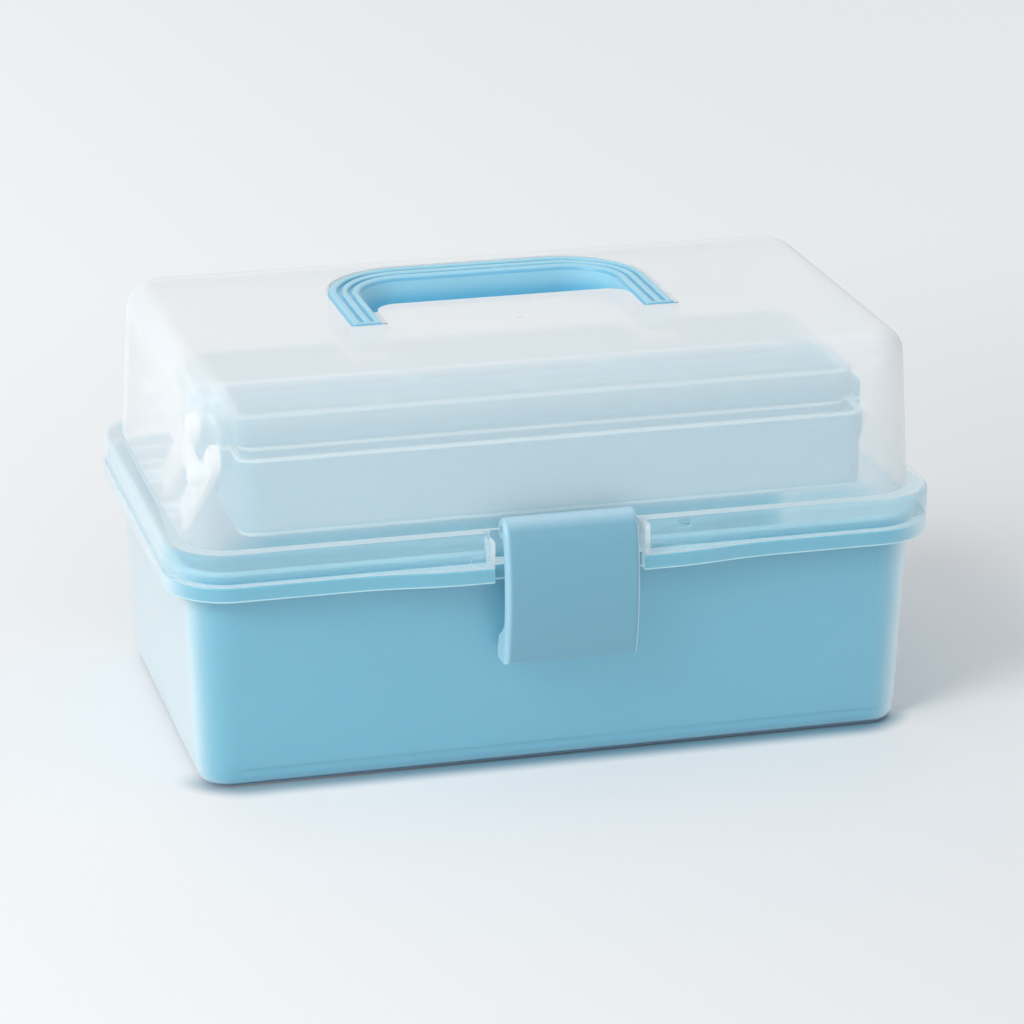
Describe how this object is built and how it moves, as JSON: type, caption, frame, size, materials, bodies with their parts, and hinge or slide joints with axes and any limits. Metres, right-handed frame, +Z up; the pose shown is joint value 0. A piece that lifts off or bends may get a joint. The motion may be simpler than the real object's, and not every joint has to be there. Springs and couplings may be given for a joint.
{
  "type": "folding tool box",
  "caption": "Portable plastic tool box with a frosted hinged lid, a flush folding handle, a front latch and trays that swing up and back as the lid opens.",
  "frame": {"origin": "centre of the flat underside, on the floor", "axes": "+X along the box's length to the right seen from the front, -Y out of the front where the latch is, +Z up"},
  "size_m": [0.33, 0.2153, 0.1755],
  "materials": {
    "tub_plastic": "satin",
    "lid_plastic": "frosted, lets light through",
    "handle_plastic": "satin",
    "latch_plastic": "satin",
    "tray_plastic": "satin",
    "arm_plastic": "satin",
    "rivet_plastic": "satin",
    "pin_steel": "drawn wire"
  },
  "bodies": {
    "tub": {"base_tub": "tub_plastic", "tub_rivets": "rivet_plastic", "hinge_pin_left": "pin_steel", "hinge_pin_right": "pin_steel"},
    "lid": {"lid_shell": "lid_plastic", "lid_link_rivets": "rivet_plastic", "latch_pin": "pin_steel", "handle_pin_left": "pin_steel", "handle_pin_right": "pin_steel"},
    "handle": {"carry_handle": "handle_plastic"},
    "latch_body": {"latch": "latch_plastic"},
    "front_arms": {"front_arm_left": "arm_plastic", "front_arm_right": "arm_plastic", "arm_link_rivets": "rivet_plastic"},
    "rear_arms": {"rear_arm_left": "arm_plastic", "rear_arm_right": "arm_plastic"},
    "links": {"lid_link_left": "arm_plastic", "lid_link_right": "arm_plastic"},
    "lower_tray_body": {"lower_tray": "tray_plastic", "lower_tray_rivets": "rivet_plastic"},
    "upper_tray_body": {"upper_tray": "tray_plastic", "upper_tray_rivets": "rivet_plastic"}
  },
  "joints": [
    {"name": "lid_hinge", "type": "hinge", "parent": "tub", "child": "lid", "pos_m": [0, 0.1029, 0.0952], "axis": [-1, 0, 0], "range_deg": [0, 95]},
    {"name": "front_arm_pivot", "type": "hinge", "parent": "tub", "child": "front_arms", "pos_m": [0, 0.02, 0.0845], "axis": [-1, 0, 0], "range_deg": [0, 95]},
    {"name": "rear_arm_pivot", "type": "hinge", "parent": "tub", "child": "rear_arms", "pos_m": [0, 0.066, 0.0845], "axis": [-1, 0, 0], "range_deg": [0, 95]},
    {"name": "lower_tray_pivot", "type": "hinge", "parent": "front_arms", "child": "lower_tray_body", "pos_m": [0, -0.02529, 0.11391], "axis": [-1, 0, 0], "range_deg": [-95, 0]},
    {"name": "upper_tray_pivot", "type": "hinge", "parent": "front_arms", "child": "upper_tray_body", "pos_m": [0, -0.05883, 0.1357], "axis": [-1, 0, 0], "range_deg": [-95, 0]},
    {"name": "link_pivot", "type": "hinge", "parent": "lid", "child": "links", "pos_m": [0, 0.04084, 0.1355], "axis": [-1, 0, 0], "range_deg": [-95, 0]},
    {"name": "handle_pivot", "type": "hinge", "parent": "lid", "child": "handle", "pos_m": [0, -0.0085, 0.171], "axis": [1, 0, 0], "range_deg": [0, 90]},
    {"name": "latch_pivot", "type": "hinge", "parent": "lid", "child": "latch_body", "pos_m": [0, -0.0985, 0.1088], "axis": [-1, 0, 0], "range_deg": [0, 95]}
  ],
  "couplings": [
    {"joint": "front_arm_pivot", "follows": "lid_hinge", "ratio": 1},
    {"joint": "rear_arm_pivot", "follows": "lid_hinge", "ratio": 1},
    {"joint": "lower_tray_pivot", "follows": "lid_hinge", "ratio": -1},
    {"joint": "upper_tray_pivot", "follows": "lid_hinge", "ratio": -1},
    {"joint": "link_pivot", "follows": "lid_hinge", "ratio": -1}
  ]
}
